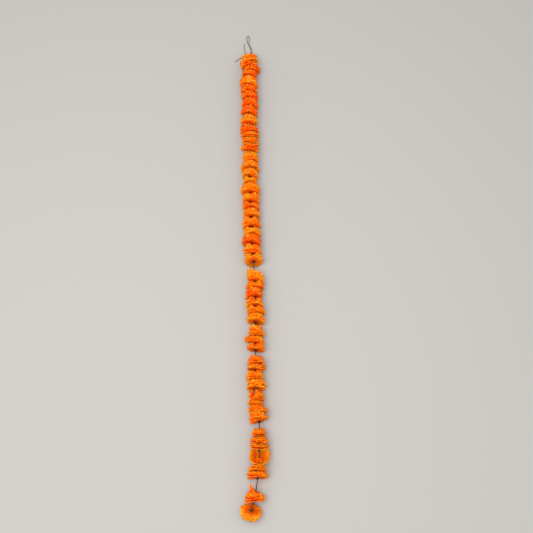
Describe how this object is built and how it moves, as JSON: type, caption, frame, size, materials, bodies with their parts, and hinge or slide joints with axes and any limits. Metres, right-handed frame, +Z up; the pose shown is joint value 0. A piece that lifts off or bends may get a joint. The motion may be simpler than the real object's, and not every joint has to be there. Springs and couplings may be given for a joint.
{
  "type": "artificial marigold door garland",
  "caption": "Straight strand of ruffled orange cloth marigolds on a string, with a hanging loop at one end, laid flat; hung at a doorway or joined into a door hanging.",
  "frame": {"origin": "on the surface under the middle of the row of flowers, at the bottom centre of their box", "axes": "+Z up from the surface, +Y along the strand towards the hanging loop, +X to the right seen from above with the loop away from the viewer"},
  "size_m": [0.1125, 1.4991, 0.0506],
  "materials": {
    "petal_cloth": "thin crinkled polyester cloth with pinked edges, orange, matt with a soft sheen",
    "string_yarn": "plied cotton string, olive brown, matt",
    "loop_cord": "plied cotton cord, taupe, matt"
  },
  "bodies": {
    "root": {"flower_01": "petal_cloth", "flower_02": "petal_cloth", "flower_03": "petal_cloth", "flower_04": "petal_cloth", "flower_05": "petal_cloth", "flower_06": "petal_cloth", "flower_07": "petal_cloth", "flower_08": "petal_cloth", "flower_09": "petal_cloth", "flower_10": "petal_cloth", "flower_11": "petal_cloth", "flower_12": "petal_cloth", "flower_13": "petal_cloth", "flower_14": "petal_cloth", "flower_15": "petal_cloth", "flower_16": "petal_cloth", "flower_17": "petal_cloth", "flower_18": "petal_cloth", "flower_19": "petal_cloth", "flower_20": "petal_cloth", "flower_21": "petal_cloth", "flower_22": "petal_cloth", "flower_23": "petal_cloth", "flower_24": "petal_cloth", "flower_25": "petal_cloth", "flower_26": "petal_cloth", "flower_27": "petal_cloth", "flower_28": "petal_cloth", "flower_29": "petal_cloth", "flower_30": "petal_cloth", "flower_31": "petal_cloth", "flower_32": "petal_cloth", "flower_33": "petal_cloth", "flower_34": "petal_cloth", "flower_35": "petal_cloth", "flower_36": "petal_cloth", "flower_37": "petal_cloth", "flower_38": "petal_cloth", "flower_39": "petal_cloth", "flower_40": "petal_cloth", "flower_41": "petal_cloth", "flower_42": "petal_cloth", "flower_43": "petal_cloth", "flower_44": "petal_cloth", "flower_45": "petal_cloth", "flower_46": "petal_cloth", "flower_47": "petal_cloth", "flower_48": "petal_cloth", "flower_49": "petal_cloth", "flower_50": "petal_cloth", "flower_51": "petal_cloth", "flower_52": "petal_cloth", "string": "string_yarn", "hanging_loop": "loop_cord", "second_strand": "loop_cord", "loose_end": "loop_cord"}
  },
  "joints": []
}
